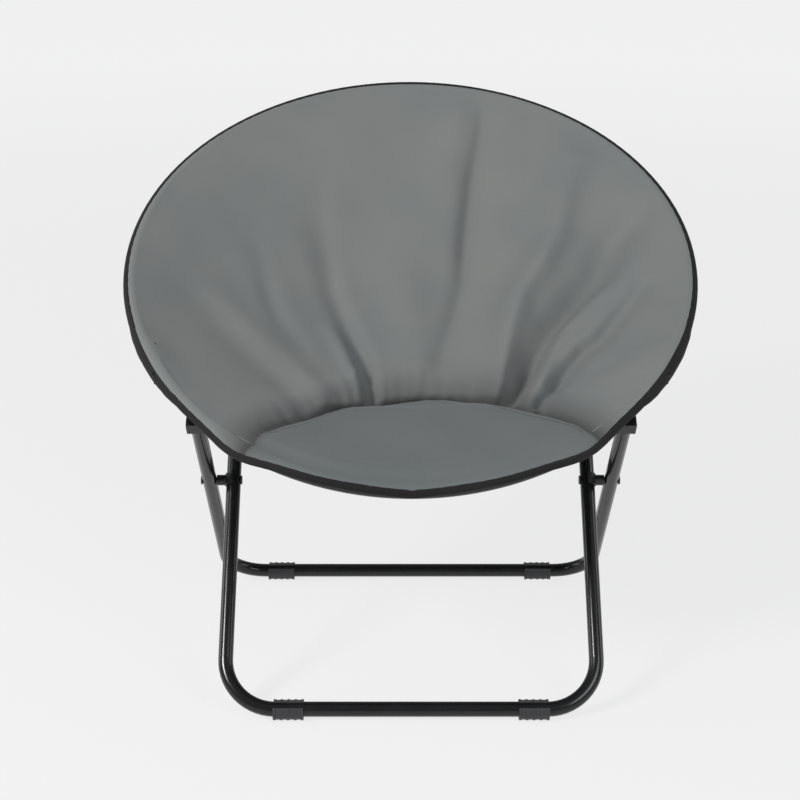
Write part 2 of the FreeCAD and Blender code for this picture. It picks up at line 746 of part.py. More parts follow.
# Checks, then one file for each piece
document.recompute()
for item in document.Objects:
    if "Invalid" in item.State or "Error" in item.State:
        raise RuntimeError(item.Label + " failed: " + str(item.State))
os.makedirs("parts", exist_ok=True)
for node in nodes:
    if node.Shape.isNull() or not node.Shape.isValid():
        raise RuntimeError(node.Label + " has no valid shape")
    node.Shape.exportStep(os.path.join("parts", node.Label + ".step"))

for name, point in (("ring hinge", ring_hinge), ("back joint", back_joint),
                    ("seat joint", seat_joint), ("leg crossing", leg_cross)):
    place = point + origin_shift
    print("%s at y %.3f z %.3f" % (name, place.y, place.z))
print("%d nodes" % len(nodes))
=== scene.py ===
"""Folding saucer chair: soft cover, bound edge, finishes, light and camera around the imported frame."""
import json
import math

import bpy
import numpy as np
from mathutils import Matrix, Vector
from mathutils.bvhtree import BVHTree


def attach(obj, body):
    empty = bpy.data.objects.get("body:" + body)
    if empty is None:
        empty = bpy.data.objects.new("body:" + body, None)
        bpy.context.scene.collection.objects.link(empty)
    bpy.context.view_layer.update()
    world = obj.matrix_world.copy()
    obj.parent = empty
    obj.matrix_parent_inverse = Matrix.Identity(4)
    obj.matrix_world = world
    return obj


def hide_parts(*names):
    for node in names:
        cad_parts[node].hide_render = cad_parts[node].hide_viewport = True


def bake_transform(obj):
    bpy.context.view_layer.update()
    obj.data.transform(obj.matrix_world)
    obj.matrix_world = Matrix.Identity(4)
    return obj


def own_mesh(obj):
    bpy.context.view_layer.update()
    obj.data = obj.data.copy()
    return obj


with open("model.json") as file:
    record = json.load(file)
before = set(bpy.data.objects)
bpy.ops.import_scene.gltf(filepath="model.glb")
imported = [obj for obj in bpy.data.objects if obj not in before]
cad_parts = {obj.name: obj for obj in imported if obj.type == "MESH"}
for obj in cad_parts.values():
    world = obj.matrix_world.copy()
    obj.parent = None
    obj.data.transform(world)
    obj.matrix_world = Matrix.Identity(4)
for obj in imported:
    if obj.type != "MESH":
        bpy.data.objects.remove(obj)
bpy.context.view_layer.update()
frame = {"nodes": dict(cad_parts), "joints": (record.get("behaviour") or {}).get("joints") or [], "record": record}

MM = 0.001

# Geometry of the hoop, in millimetres and degrees, as in the part's source
RING_R = 371.5
RING_TILT = math.radians(29.4)
SEAT_DROP = math.radians(5.5)
JOINTS = {joint["name"]: joint for joint in frame["joints"]}
HINGE = np.array(JOINTS["seat_fold"]["pos_m"]) / MM
SEAT_BRACKET_HALF = 267.5
HINGE_TO_BRACKET = 77.8
HINGE_FORWARD = math.sqrt(RING_R ** 2 - SEAT_BRACKET_HALF ** 2) - HINGE_TO_BRACKET
HINGE_ANGLE = math.degrees(math.asin(HINGE_FORWARD / RING_R))
UP_SLOPE = np.array([0.0, math.cos(RING_TILT), math.sin(RING_TILT)])
NORMAL = np.array([0.0, -math.sin(RING_TILT), math.cos(RING_TILT)])
BEND_HALF = 18.0
SEAT_NORMAL = np.array([0.0, -math.sin(RING_TILT + SEAT_DROP), math.cos(RING_TILT + SEAT_DROP)])

# The cloth over the tube
SLEEVE_IN = 9.75
SLEEVE_OUT = 10.7
TAPE_OUT = 11.6
LEAVE_ANGLE = 118.0
EDGE_R = RING_R + SLEEVE_OUT * math.cos(math.radians(LEAVE_ANGLE))
EDGE_RISE = SLEEVE_OUT * math.sin(math.radians(LEAVE_ANGLE))
BRIDGE_HALF = 2.6
SLEEVE_END = 205.0
TUCK_FROM = 104.0
TUCK_RUN = 10.0
TUCK_SHARE = 0.65
EDGE_ROUND = 0.35

# Stitches: their inset from the tape's edge round the tube or from the seam, and the length, gap and
# thread radius of each kind
TAPE_STITCH_INSET = 15.0
TAPE_STITCH = (3.6, 1.3, 0.42)
SEAM_STITCH_INSET = 9.0
SEAM_STITCH = (3.4, 1.4, 0.5)

# The padded dish
DEPTH = 132.0
LOW_FORWARD = 104.0
POWER_BACK = 1.4
POWER_SEAT = 1.25
PAD_THICKNESS = 11.0
CLOTH_THICKNESS = 0.9
PAD_RUN = 22.0
SEAT_CROWN = 17.0

# The seat panel's flatter front edge
LEDGE_RISE = 6.0
LEDGE_IN = 27.0
LEDGE_WIDTH = 14.0

# The step at the seam: a roll of the back panel, the wall below it and a narrow groove
ROLL_RISE = 8.0
ROLL_BACK = 38.0
ROLL_WIDTH = 24.0
WALL_DROP = 19.0
WALL_BACK = 19.0
WALL_RUN = 17.0
FLOOR_RUN = 10.0
GROOVE_DEPTH = 4.0
GROOVE_WIDTH = 4.0

# The cover's slight bump over each hinge
HINGE_BUMP_X = 326.0
HINGE_BUMP_Y = -165.0
HINGE_BUMP_RISE = 1.5
HINGE_BUMP_WIDTH = 20.0


# Coordinates
def smooth(value):
    """Smooth step of a value between 0 and 1."""
    value = np.clip(value, 0.0, 1.0)
    return value * value * (3.0 - 2.0 * value)


def drop_seat(points):
    """Turn what lies in front of the hinge down to the seat hoop's own plane."""
    points = np.array(points, float)
    ahead = smooth((-HINGE_FORWARD + BEND_HALF - points[..., 1]) / (2.0 * BEND_HALF))
    angle = SEAT_DROP * ahead
    y = points[..., 1] + HINGE_FORWARD
    z = points[..., 2]
    turned = points.copy()
    turned[..., 1] = y * np.cos(angle) - z * np.sin(angle) - HINGE_FORWARD
    turned[..., 2] = y * np.sin(angle) + z * np.cos(angle)
    return turned


def to_row(points):
    """From the hoop's plane in millimetres to the row frame in metres."""
    points = drop_seat(points)
    across = points[..., 0:1] * np.array([1.0, 0.0, 0.0])
    slope = (points[..., 1:2] + HINGE_FORWARD) * UP_SLOPE
    rise = points[..., 2:3] * NORMAL
    return (HINGE + across + slope + rise) * MM


# Shape of the dish
def line_distance(x, y, points):
    """Signed distance to a line of points, positive on its left, and the share of the way along."""
    best = np.full(x.shape, 1e9)
    side = np.zeros(x.shape)
    along = np.zeros(x.shape)
    lengths = [math.dist(a, b) for a, b in zip(points[:-1], points[1:])]
    total = sum(lengths)
    done = 0.0
    for (ax, ay), (bx, by), length in zip(points[:-1], points[1:], lengths):
        run_x, run_y = (bx - ax) / length, (by - ay) / length
        place = np.clip((x - ax) * run_x + (y - ay) * run_y, 0.0, length)
        off_x, off_y = x - ax - place * run_x, y - ay - place * run_y
        distance = np.hypot(off_x, off_y)
        nearer = distance < best
        best = np.where(nearer, distance, best)
        side = np.where(nearer, np.sign(run_x * off_y - run_y * off_x), side)
        along = np.where(nearer, (done + place) / total, along)
        done += length
    return best * side, along


SEAM_POINTS = ((-300, -600), (-204, -370), (-199, -326), (-193, -295), (-182, -273), (-166, -252),
               (-136, -225), (-117, -205), (-92, -180), (-54, -157), (-14, -139), (19, -131),
               (53, -137), (91, -160), (128, -193), (164, -221), (188, -241), (207, -266),
               (219, -290), (228, -318), (300, -560))
seam_across = np.arange(-300.0, 301.0, 1.0)
seam_back = np.interp(seam_across, [p[0] for p in SEAM_POINTS], [p[1] for p in SEAM_POINTS])
SEAM_SMOOTHING = 12
seam_kernel = np.hanning(2 * SEAM_SMOOTHING + 1)
seam_kernel = seam_kernel / seam_kernel.sum()
seam_back[SEAM_SMOOTHING:-SEAM_SMOOTHING] = np.convolve(seam_back, seam_kernel, "valid")


def seam_y(x):
    """Where the seam between the seat panel and the back panel runs."""
    return np.interp(x, seam_across, seam_back)


SEAM_LINE = tuple((x, float(seam_y(x))) for x in np.arange(-232.0, 257.0, 8.0))


def seam_distance(x, y):
    """Distance from the seam, positive on the seat panel."""
    return -line_distance(x, y, SEAM_LINE)[0]


# Folds from the rim down to the seam: line, rise at its start, middle and end, then the width
# on its left and on its right, each at the start and at the end
FOLDS = (
    (((112, 352), (106, 293), (95, 238), (87, 184), (80, 121), (75, 57), (64, 7), (49, -45),
      (41, -78), (38, -130)), (-13.0, -13.0, -2.0), (10.0, 16.0), (26.0, 36.0)),
    (((81, 352), (70, 296), (59, 234), (52, 155), (48, 76)), (8.0, 6.0, 0.0), (34.0, 40.0),
     (16.0, 20.0)),
    (((268, 250), (237, 213), (216, 161), (204, 98), (181, 53), (152, 10), (136, -38), (128, -76),
      (118, -150)), (15.0, 24.0, 14.0), (38.0, 26.0), (28.0, 14.0)),
    (((358, 133), (333, 119), (284, 80), (258, 28), (232, 2), (196, -40), (174, -79), (156, -118),
      (134, -172)), (-24.0, -34.0, -25.0), (34.0, 17.0), (30.0, 14.0)),
    (((330, 50), (284, -1), (244, -21), (202, -60), (186, -103), (170, -160)), (3.0, 8.0, 7.0),
     (18.0, 12.0), (14.0, 9.0)),
    (((330, -10), (311, -22), (286, -49), (251, -92), (231, -103), (210, -128), (168, -200)),
     (-12.0, -20.0, -20.0), (12.0, 10.0), (22.0, 17.0)),
    (((356, -70), (319, -150), (279, -184), (215, -215)), (5.0, 9.0, 3.0), (28.0, 22.0),
     (28.0, 22.0)),
    (((-138, 240), (-128, 154), (-120, 99), (-109, 36), (-90, -10), (-76, -41), (-62, -73),
      (-50, -150)), (-1.0, -8.0, -18.0), (26.0, 9.0), (20.0, 9.0)),
    (((-216, 102), (-205, 46), (-192, -2), (-178, -33), (-161, -55), (-135, -84)),
     (-1.0, -5.0, -1.0), (14.0, 12.0), (16.0, 14.0)),
    (((-310, -10), (-275, -44), (-247, -80), (-212, -115), (-172, -150), (-130, -208)),
     (-1.0, -5.0, -8.0), (24.0, 20.0), (24.0, 18.0)),
    (((-293, 20), (-265, -11), (-216, -57), (-147, -114), (-112, -160)), (1.0, 4.0, 5.0),
     (24.0, 14.0), (24.0, 14.0)),
    (((-117, -16), (-96, -54), (-74, -110)), (1.0, 5.0, 6.0), (14.0, 10.0), (12.0, 7.0)),
    (((-28, 160), (-7, 46), (14, -70)), (1.0, 6.0, 7.0), (44.0, 34.0), (40.0, 26.0)),
)


FOLD_START = 0.1
FOLD_END = 0.06
FADING_RISE = 3.0


def fold_relief(x, y):
    """Height that the long folds add to the back panel."""
    relief = np.zeros(x.shape)
    for points, rises, left, right in FOLDS:
        distance, along = line_distance(x, y, points)
        rise = np.interp(along, (0.0, 0.5, 1.0), rises) * smooth(along / FOLD_START + 0.02)
        fade = smooth((1.0 - along) / FOLD_END) if abs(rises[2]) < FADING_RISE else 1.0
        wide = np.where(distance > 0.0, right[0] + (right[1] - right[0]) * along,
                        left[0] + (left[1] - left[0]) * along)
        relief += rise * fade * np.exp(-(distance / wide) ** 2)
    return relief


GATHER_SEED = 11
GATHER_FROM = -176.0
GATHER_TO = 196.0
GATHER_HALF = 190.0
GATHER_TAPER = 0.35
GATHER_LENGTH = (30, 85)
GATHER_DEPTH = (1.6, 4.6)
GATHER_WIDTH = (4.6, 8.0)
GATHER_STEP = (13, 24)


def gather_relief(x, y):
    """Small pleats where the back panel is eased into the seam."""
    relief = np.zeros(x.shape)
    draw = np.random.default_rng(GATHER_SEED)
    place = GATHER_FROM
    while place < GATHER_TO:
        taper = 1.0 - GATHER_TAPER * abs(place) / GATHER_HALF
        top_x = place * (1.22 + 0.1 * draw.random()) + draw.uniform(-5, 5)
        low_y = float(seam_y(np.array(place)))
        length = draw.uniform(*GATHER_LENGTH) * taper
        depth = draw.uniform(*GATHER_DEPTH) * taper
        width = draw.uniform(*GATHER_WIDTH)
        heading = math.atan2(1.0, (top_x - place) / 60.0)
        points = ((place, low_y), (place + length * math.cos(heading),
                                   low_y + length * math.sin(heading)))
        distance, along = line_distance(x, y, points)
        pull = depth * (1.0 - along) ** 1.3
        relief -= pull * np.exp(-(distance / width) ** 2)
        relief += 0.6 * pull * np.exp(-((distance - 9.0) / width) ** 2)
        place += draw.uniform(*GATHER_STEP)
    return relief


def edge_reach(x, y):
    """Share of the way from the dish's lowest point to its edge, and the heading's forward part."""
    run_y = y + LOW_FORWARD
    run = np.maximum(np.hypot(x, run_y), 1e-6)
    heading = run_y / run
    half = -LOW_FORWARD * heading
    reach = -half + np.sqrt(half * half + EDGE_R ** 2 - LOW_FORWARD ** 2)
    return run / reach, heading


def bowl_height(x, y):
    """Height of the plain bowl, and the share of the way to its edge."""
    share, heading = edge_reach(x, y)
    forward = np.maximum(0.0, -heading) ** 2
    power = POWER_BACK + (POWER_SEAT - POWER_BACK) * forward
    return EDGE_RISE - DEPTH * (1.0 - np.minimum(share, 1.0) ** power), share


def dish_height(x, y, before):
    """Height of the dish's upper face over the hoop's plane."""
    height, share = bowl_height(x, y)
    inside = np.maximum(0.0, 1.0 - share ** 6)
    on_seat = smooth(before / 6.0 + 0.5)
    panel = np.maximum(EDGE_R + seam_y(x), 1.0)
    place = np.clip(before / panel, 0.0, 1.0)
    crown = SEAT_CROWN * np.sin(math.pi * place ** 1.5) * np.maximum(0.0, 1.0 - share ** 4)
    edge_in = EDGE_R - np.hypot(x, y)
    ledge = (1.0 - 0.5 * smooth((x - 10.0) / 90.0)) * smooth((-y - 190.0) / 50.0)
    ledge = ledge * np.exp(-((edge_in - LEDGE_IN) / LEDGE_WIDTH) ** 2)
    crown = crown + LEDGE_RISE * ledge / np.maximum(1.0 - share ** 6, 0.2)
    waves = 2.0 * np.sin(0.021 * x + 0.9) * np.sin(0.017 * y - 0.4)
    waves += 1.2 * np.sin(0.034 * x - 0.013 * y + 2.0) + 0.5 * np.sin(0.06 * x + 0.05 * y)
    back = fold_relief(x, y) + gather_relief(x, y)
    height = height + inside * (on_seat * (crown + 0.5 * waves) + (1.0 - on_seat) * (back + waves))
    seam_fade = np.maximum(0.0, 1.0 - share ** 10)
    across = 1.0 - 0.75 * smooth((np.abs(x) - 50.0) / 110.0)
    roll = ROLL_RISE * across * np.exp(-((before + ROLL_BACK) / ROLL_WIDTH) ** 2)
    wall = WALL_DROP * across * smooth((before + WALL_BACK) / WALL_RUN)
    floor_rise = np.where(before > 0.0, np.exp(-(before / FLOOR_RUN) ** 2), 1.0)
    groove = GROOVE_DEPTH * np.exp(-(before / GROOVE_WIDTH) ** 2)
    height = height + seam_fade * (roll - wall * floor_rise - groove)
    for side in (-1.0, 1.0):
        gap = np.hypot(x - side * HINGE_BUMP_X, y - HINGE_BUMP_Y)
        height = height + HINGE_BUMP_RISE * np.exp(-(gap / HINGE_BUMP_WIDTH) ** 2)
    return height


# Meshes
def make_object(name, verts, faces, material, normals=None, uvs=None, seams=None):
    """A smooth mesh object from row-frame points in metres."""
    mesh = bpy.data.meshes.new(name)
    mesh.from_pydata([tuple(v) for v in verts], [], [tuple(f) for f in faces])
    mesh.materials.append(material)
    mesh.polygons.foreach_set("use_smooth", np.ones(len(faces), bool))
    loops = np.zeros(len(mesh.loops), np.int32)
    mesh.loops.foreach_get("vertex_index", loops)
    for layer_name, values in (("cloth", uvs), ("seam", seams)):
        if values is not None:
            layer = mesh.uv_layers.new(name=layer_name)
            layer.data.foreach_set("uv", np.asarray(values, np.float32)[loops].ravel())
    mesh.update()
    if normals is not None:
        mesh.normals_split_custom_set_from_vertices([tuple(n) for n in normals])
    thing = bpy.data.objects.new(name, mesh)
    bpy.context.scene.collection.objects.link(thing)
    return thing


def face_normals(verts, faces):
    """Area-weighted vertex normals of a mesh of quads."""
    verts = np.asarray(verts)
    faces = np.asarray(faces)
    cross = np.cross(verts[faces[:, 2]] - verts[faces[:, 0]], verts[faces[:, 3]] - verts[faces[:, 1]])
    normals = np.zeros_like(verts)
    for corner in range(4):
        np.add.at(normals, faces[:, corner], cross)
    return normals / np.maximum(np.linalg.norm(normals, axis=1, keepdims=True), 1e-12)


def grid_faces(size):
    """Quads of a square grid of points."""
    index = np.arange(size * size).reshape(size, size)
    quads = np.stack([index[:-1, :-1], index[:-1, 1:], index[1:, 1:], index[1:, :-1]], -1)
    return quads.reshape(-1, 4)


def near_cells(values, axis, radius):
    """A square grid of values shifted along an axis by each step up to some cells, its edge held."""
    margin = [(radius, radius) if a == axis else (0, 0) for a in (0, 1)]
    wide = np.pad(values, margin, "edge")
    size = len(values)
    return [np.take(wide, np.arange(size) + step, axis) for step in range(2 * radius + 1)]


def soften(values, radius):
    """A grid of values blurred over some cells."""
    kernel = np.hanning(2 * radius + 3)[1:-1]
    kernel = kernel / kernel.sum()
    for axis in (0, 1):
        values = sum(k * near for k, near in zip(kernel, near_cells(values, axis, radius)))
    return values


def lowest_near(values, radius):
    """A grid of values, each replaced by the lowest one some cells round it."""
    for axis in (0, 1):
        values = np.min(near_cells(values, axis, radius), 0)
    return values


# Materials
def new_material(name, colour, roughness):
    """A material with its shader's plain values set."""
    mat = bpy.data.materials.new(name)
    mat.use_nodes = True
    shader = mat.node_tree.nodes["Principled BSDF"]
    shader.inputs["Base Color"].default_value = (*colour, 1.0)
    shader.inputs["Roughness"].default_value = roughness
    return mat, mat.node_tree, shader


def add_node(tree, kind, **values):
    """A shader node with its properties and inputs set by name."""
    node = tree.nodes.new(kind)
    for key, value in values.items():
        if key in node.inputs:
            node.inputs[key].default_value = value
        else:
            setattr(node, key, value)
    return node


def bump_into(tree, shader, height, strength, distance):
    """Feed a height into the shader's normal."""
    bump = add_node(tree, "ShaderNodeBump", Strength=strength, Distance=distance)
    tree.links.new(height, bump.inputs["Height"])
    tree.links.new(bump.outputs["Normal"], shader.inputs["Normal"])


def colour_ramp(tree, factor, stops):
    """A ramp between colours."""
    ramp = tree.nodes.new("ShaderNodeValToRGB")
    ramp.color_ramp.elements[0].position = stops[0][0]
    ramp.color_ramp.elements[0].color = (*stops[0][1], 1.0)
    ramp.color_ramp.elements[1].position = stops[-1][0]
    ramp.color_ramp.elements[1].color = (*stops[-1][1], 1.0)
    for position, colour in stops[1:-1]:
        element = ramp.color_ramp.elements.new(position)
        element.color = (*colour, 1.0)
    tree.links.new(factor, ramp.inputs["Fac"])
    return ramp.outputs["Color"]


def woven_material(name, dark, light, thread, roughness, relief, sheen):
    """Plain woven cloth: crossed threads in the cloth's own coordinates, with soft colour drift."""
    mat, tree, shader = new_material(name, light, roughness)
    uv = add_node(tree, "ShaderNodeUVMap", uv_map="cloth")
    waves = []
    for direction in ("X", "Y"):
        wave = add_node(tree, "ShaderNodeTexWave", wave_type="BANDS", bands_direction=direction,
                        Scale=1.0 / thread / 3.1416 * 0.5, Distortion=0.6, Detail=1.0)
        tree.links.new(uv.outputs["UV"], wave.inputs["Vector"])
        waves.append(wave.outputs["Fac"])
    weave = add_node(tree, "ShaderNodeMath", operation="MULTIPLY")
    tree.links.new(waves[0], weave.inputs[0])
    tree.links.new(waves[1], weave.inputs[1])
    coordinates = add_node(tree, "ShaderNodeTexCoord")
    drift = add_node(tree, "ShaderNodeTexNoise", Scale=7.0, Detail=3.0, Roughness=0.5)
    tree.links.new(coordinates.outputs["Object"], drift.inputs["Vector"])
    fibre = add_node(tree, "ShaderNodeTexNoise", Scale=900.0, Detail=2.0, Roughness=0.6)
    tree.links.new(coordinates.outputs["Object"], fibre.inputs["Vector"])
    base = colour_ramp(tree, drift.outputs["Fac"], ((0.36, dark), (0.64, light)))
    mix = add_node(tree, "ShaderNodeMix", data_type="RGBA", blend_type="MULTIPLY", Factor=0.16)
    tree.links.new(base, mix.inputs[6])
    tree.links.new(colour_ramp(tree, weave.outputs["Value"],
                               ((0.0, (0.55, 0.55, 0.55)), (0.6, (1.0, 1.0, 1.0)))), mix.inputs[7])
    tree.links.new(mix.outputs[2], shader.inputs["Base Color"])
    height = add_node(tree, "ShaderNodeMath", operation="ADD")
    tree.links.new(weave.outputs["Value"], height.inputs[0])
    tree.links.new(fibre.outputs["Fac"], height.inputs[1])
    bump_into(tree, shader, height.outputs["Value"], 0.35, relief)
    shader.inputs["Sheen Weight"].default_value = sheen
    shader.inputs["Sheen Roughness"].default_value = 0.5
    shader.inputs["Specular IOR Level"].default_value = 0.25
    return mat


def paint_seam_shade(mat):
    """Paint shade into the cloth's colour: darkest along the seam, and the seat panel painted a little darker as
    shade.
    """
    tree = mat.node_tree
    shader = tree.nodes["Principled BSDF"]
    base = shader.inputs["Base Color"].links[0].from_socket
    uv = add_node(tree, "ShaderNodeUVMap", uv_map="seam")
    split = add_node(tree, "ShaderNodeSeparateXYZ")
    tree.links.new(uv.outputs["UV"], split.inputs[0])
    place = add_node(tree, "ShaderNodeMapRange")
    place.inputs["From Min"].default_value = -0.06
    place.inputs["From Max"].default_value = 0.06
    tree.links.new(split.outputs["X"], place.inputs["Value"])
    # Painted shade by distance from the seam: the back panel darkens over the last 5 cm to the seam, and the seat
    # panel stays about a quarter darker and slightly bluer.
    shade = colour_ramp(tree, place.outputs["Result"], (
        (0.08, (1.0, 1.0, 1.0)), (0.22, (0.87, 0.87, 0.87)), (0.36, (0.64, 0.64, 0.64)),
        (0.45, (0.42, 0.42, 0.42)), (0.5, (0.28, 0.28, 0.28)), (0.53, (0.62, 0.63, 0.64)),
        (0.62, (0.69, 0.72, 0.74)), (1.0, (0.73, 0.76, 0.78))))
    mix = add_node(tree, "ShaderNodeMix", data_type="RGBA", blend_type="MULTIPLY", Factor=1.0)
    tree.links.new(base, mix.inputs[6])
    tree.links.new(shade, mix.inputs[7])
    tree.links.new(mix.outputs[2], shader.inputs["Base Color"])


def painted_material(name, colour, roughness, coat):
    """Glossy powder coat with a faint orange peel and slight dulling."""
    mat, tree, shader = new_material(name, colour, roughness)
    coordinates = add_node(tree, "ShaderNodeTexCoord")
    peel = add_node(tree, "ShaderNodeTexNoise", Scale=420.0, Detail=2.0, Roughness=0.5)
    tree.links.new(coordinates.outputs["Object"], peel.inputs["Vector"])
    dull = add_node(tree, "ShaderNodeTexNoise", Scale=22.0, Detail=4.0, Roughness=0.6)
    tree.links.new(coordinates.outputs["Object"], dull.inputs["Vector"])
    spread = add_node(tree, "ShaderNodeMapRange")
    spread.inputs["To Min"].default_value = roughness - 0.05
    spread.inputs["To Max"].default_value = roughness + 0.09
    tree.links.new(dull.outputs["Fac"], spread.inputs["Value"])
    tree.links.new(spread.outputs["Result"], shader.inputs["Roughness"])
    tree.links.new(colour_ramp(tree, dull.outputs["Fac"],
                               ((0.3, colour), (0.75, tuple(c * 1.7 for c in colour)))),
                   shader.inputs["Base Color"])
    bump_into(tree, shader, peel.outputs["Fac"], 0.12, 0.0002)
    shader.inputs["Specular IOR Level"].default_value = 0.3
    shader.inputs["Coat Weight"].default_value = coat
    shader.inputs["Coat Roughness"].default_value = 0.08
    return mat


def moulded_material(name, colour, roughness):
    """Moulded plastic with a fine spark-eroded grain."""
    mat, tree, shader = new_material(name, colour, roughness)
    coordinates = add_node(tree, "ShaderNodeTexCoord")
    grain = add_node(tree, "ShaderNodeTexNoise", Scale=1400.0, Detail=3.0, Roughness=0.65)
    tree.links.new(coordinates.outputs["Object"], grain.inputs["Vector"])
    tone = add_node(tree, "ShaderNodeTexNoise", Scale=60.0, Detail=2.0)
    tree.links.new(coordinates.outputs["Object"], tone.inputs["Vector"])
    tree.links.new(colour_ramp(tree, tone.outputs["Fac"],
                               ((0.3, tuple(c * 0.8 for c in colour)), (0.7, colour))),
                   shader.inputs["Base Color"])
    bump_into(tree, shader, grain.outputs["Fac"], 0.3, 0.0003)
    return mat


CLOTH_DARK = (0.168, 0.181, 0.180)
CLOTH_LIGHT = (0.184, 0.192, 0.187)
cloth = woven_material("polyester_grey", CLOTH_DARK, CLOTH_LIGHT, 0.0009, 0.82, 0.0003, 0.1)
padded_cloth = woven_material("padded_polyester", CLOTH_DARK, CLOTH_LIGHT, 0.0009, 0.82, 0.0003, 0.1)
# Painted shade: only the padded cloth is darkened at the seam and over the seat panel.
paint_seam_shade(padded_cloth)
tape = woven_material("binding_tape", (0.008, 0.0075, 0.008), (0.013, 0.0125, 0.0125), 0.0014,
                      0.75, 0.0005, 0.02)
tape_thread = woven_material("binding_thread", (0.014, 0.014, 0.015), (0.022, 0.022, 0.023), 0.0003,
                             0.5, 0.0002, 0.02)
cover_thread = woven_material("cover_thread", (0.07, 0.075, 0.076), (0.09, 0.095, 0.096), 0.0003,
                              0.6, 0.0002, 0.05)
paint = painted_material("gloss_black_coat", (0.005, 0.005, 0.0055), 0.2, 0.25)
foot_plastic = moulded_material("foot_plastic", (0.035, 0.035, 0.038), 0.5)
black_plastic = moulded_material("black_plastic", (0.014, 0.014, 0.015), 0.42)
rivet = painted_material("rivet_black", (0.02, 0.02, 0.021), 0.32, 0.2)

FINISHES = {"frame_paint": paint, "foot_plastic": foot_plastic, "black_plastic": black_plastic,
            "rivet": rivet, "cover_fabric": cloth, "binding": tape}
for part in frame["record"]["subparts"]:
    node = frame["nodes"].get(part["node"])
    if node is not None:
        node.data.materials.clear()
        node.data.materials.append(FINISHES[part["material_slot"]])


# Bands of cloth round the hoop tube
def value_at(points, angle):
    """Value at an angle round the hoop, from sorted pairs of angle and value."""
    turned = np.where(np.asarray(angle) > 90.0, np.asarray(angle) - 360.0, angle)
    return np.interp(turned, [p[0] for p in points], [p[1] for p in points])


# Angle of the tape's inner and outer edge round the tube, against the angle round the hoop
TAPE_INNER = ((-270, 104), (-200, 84), (-160, 74), (-135, 62), (-124, 58), (-112, 78), (-100, 86),
              (-91.5, 74), (-90, 68), (-88.5, 74), (-80, 86), (-68, 78), (-56, 62), (-47, 80),
              (-38, 86), (-20, 82), (20, 86), (90, 104))
TAPE_OUTER = ((-270, -10), (-162, -14), (-156, -95), (-146, -95), (-140, -14), (-128, -16),
              (-118, 6), (-104, 30), (-95, 22), (-90, -4), (-85, 22), (-76, 30), (-62, 8), (-53, 6),
              (-50, 6), (-41, 12), (-34, -95), (-24, -95), (-19, -10), (90, -10))


def corner_swell(angle):
    """How far the cover's corner stands off the tube at an angle round the hoop."""
    swell = 0.0
    for place in (-124.0, -56.0):
        swell = swell + np.exp(-(np.abs(angle - place) / 6.0) ** 2.2)
    return 6.5 * swell


def hinge_swell(angle):
    """Extra girth of the cloth over the hinge lugs."""
    swell = 0.0
    for place in (-180.0 + HINGE_ANGLE, -HINGE_ANGLE, 180.0 + HINGE_ANGLE):
        off = np.abs(angle - place)
        swell = swell + 1.5 * smooth((11.0 - off) / 4.0) + 1.1 * smooth((6.5 - off) / 3.5)
    return swell


def round_tube(angle, phi, radius):
    """Point of the hoop's plane at an angle round the hoop, and one round the tube, in degrees."""
    stand = corner_swell(angle) * smooth((125.0 - phi) / 70.0)
    out = RING_R + stand + radius * np.cos(np.radians(phi))
    rise = radius * np.sin(np.radians(phi)) + 0.35 * stand * (2.0 * smooth((phi - 10.0) / 70.0) - 1.0)
    turn = np.radians(angle)
    return np.stack([out * np.cos(turn), out * np.sin(turn), rise], -1)


# The padded dish, one surface that is parted over the hinge line
STEPS = 200
FRONT_SHARE = 0.27
FRONT_ROWS = round(FRONT_SHARE * STEPS)
ROW_SPLIT = -HINGE_FORWARD / (EDGE_R * math.sqrt(0.5))
row_values = np.concatenate([np.linspace(-1.0, ROW_SPLIT, FRONT_ROWS + 1),
                             np.linspace(ROW_SPLIT, 1.0, STEPS - FRONT_ROWS + 1)[1:]])
column_values = np.linspace(-1.0, 1.0, STEPS + 1)
grid_u, grid_v = np.meshgrid(column_values, row_values)
grid_x = EDGE_R * grid_u * np.sqrt(1.0 - grid_v ** 2 / 2.0)
squeeze = np.sqrt(1.0 - grid_u ** 2 / 2.0)
grid_y = EDGE_R * grid_v * squeeze
split_y = EDGE_R * ROW_SPLIT * squeeze
low_end = -EDGE_R * squeeze
front_part = low_end + (grid_y - low_end) * (-HINGE_FORWARD - low_end) / (split_y - low_end)
back_part = -low_end - (-low_end - grid_y) * (-low_end + HINGE_FORWARD) / (-low_end - split_y)
grid_y = np.where(grid_v <= ROW_SPLIT, front_part, back_part)
reach = np.hypot(grid_x, grid_y)
too_far = np.maximum(reach / EDGE_R, 1.0)
grid_x, grid_y = grid_x / too_far, grid_y / too_far

seam_gap = seam_distance(grid_x, grid_y)
top = np.stack([grid_x, grid_y, dish_height(grid_x, grid_y, seam_gap)], -1)
near_middle = 1.0 - smooth((np.abs(grid_x) - 60.0) / 130.0)
top[..., 1] -= (3.0 + 9.0 * near_middle) * np.exp(-((seam_gap + 15.0) / 10.0) ** 2)
grid_angle = np.degrees(np.arctan2(grid_y, grid_x))
near_edge = np.exp(-((EDGE_R - np.hypot(grid_x, grid_y)) / 20.0) ** 2)
top[..., 2] += 0.88 * hinge_swell(grid_angle) * near_edge
columns = STEPS + 1
index = np.arange(columns * columns).reshape(columns, columns)
rim = np.concatenate([index[0, :], index[1:, -1], index[-1, -2::-1], index[-2:0:-1, 0]])
rim_angle = grid_angle.ravel()[rim]
WRAP_STEPS = 8
UNDER_TAPE = 10.0
PAD_CLEAR = 0.2
wrap_end = value_at(TAPE_INNER, rim_angle) - UNDER_TAPE
wraps = []
for step in range(WRAP_STEPS + 1):
    phi = LEAVE_ANGLE + (wrap_end - LEAVE_ANGLE) * step / WRAP_STEPS
    wraps.append(round_tube(rim_angle, phi, SLEEVE_OUT + PAD_CLEAR + hinge_swell(rim_angle)))
flat_top = top.reshape(-1, 3)
flat_top[rim] = wraps[0]
rim_count = len(rim)
top_points = np.concatenate([flat_top] + wraps[1:])
